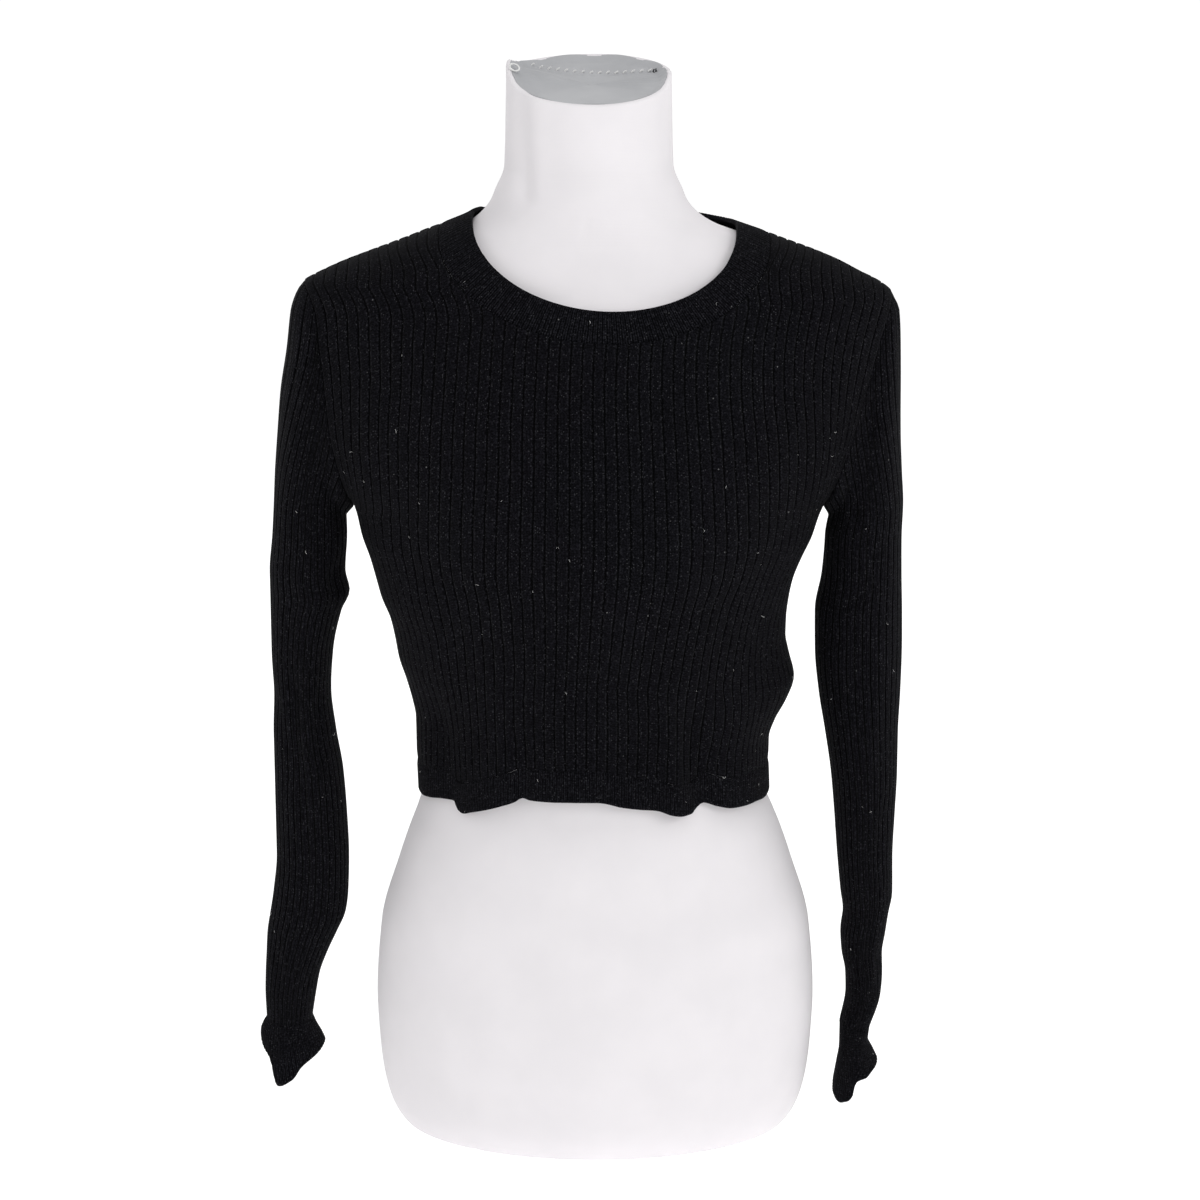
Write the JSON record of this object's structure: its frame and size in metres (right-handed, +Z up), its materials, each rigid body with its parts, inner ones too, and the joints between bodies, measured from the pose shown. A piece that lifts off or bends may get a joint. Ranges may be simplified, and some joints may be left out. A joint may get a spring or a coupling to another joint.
{
  "type": "sweater on a dress form",
  "caption": "Cropped rib-knit sweater with long sleeves and a wide round neck, worn on a limbless padded dress form that stands on its flat base.",
  "frame": {"origin": "middle of the dress form's flat base, on the surface it stands on", "axes": "+Z up the body from the base to the neck, the front of the sweater faces -Y, and the wearer's right side is -X"},
  "size_m": [0.456, 0.2319, 0.7527],
  "materials": {
    "knit": "matt rib knit, near black",
    "form_cover": "smooth off-white jersey cover"
  },
  "bodies": {
    "root": {"front": "knit", "back": "knit", "sleeve_right": "knit", "sleeve_left": "knit", "neckband": "knit", "hem_band": "knit", "cuff_right": "knit", "cuff_left": "knit", "dress_form": "form_cover"}
  },
  "joints": []
}
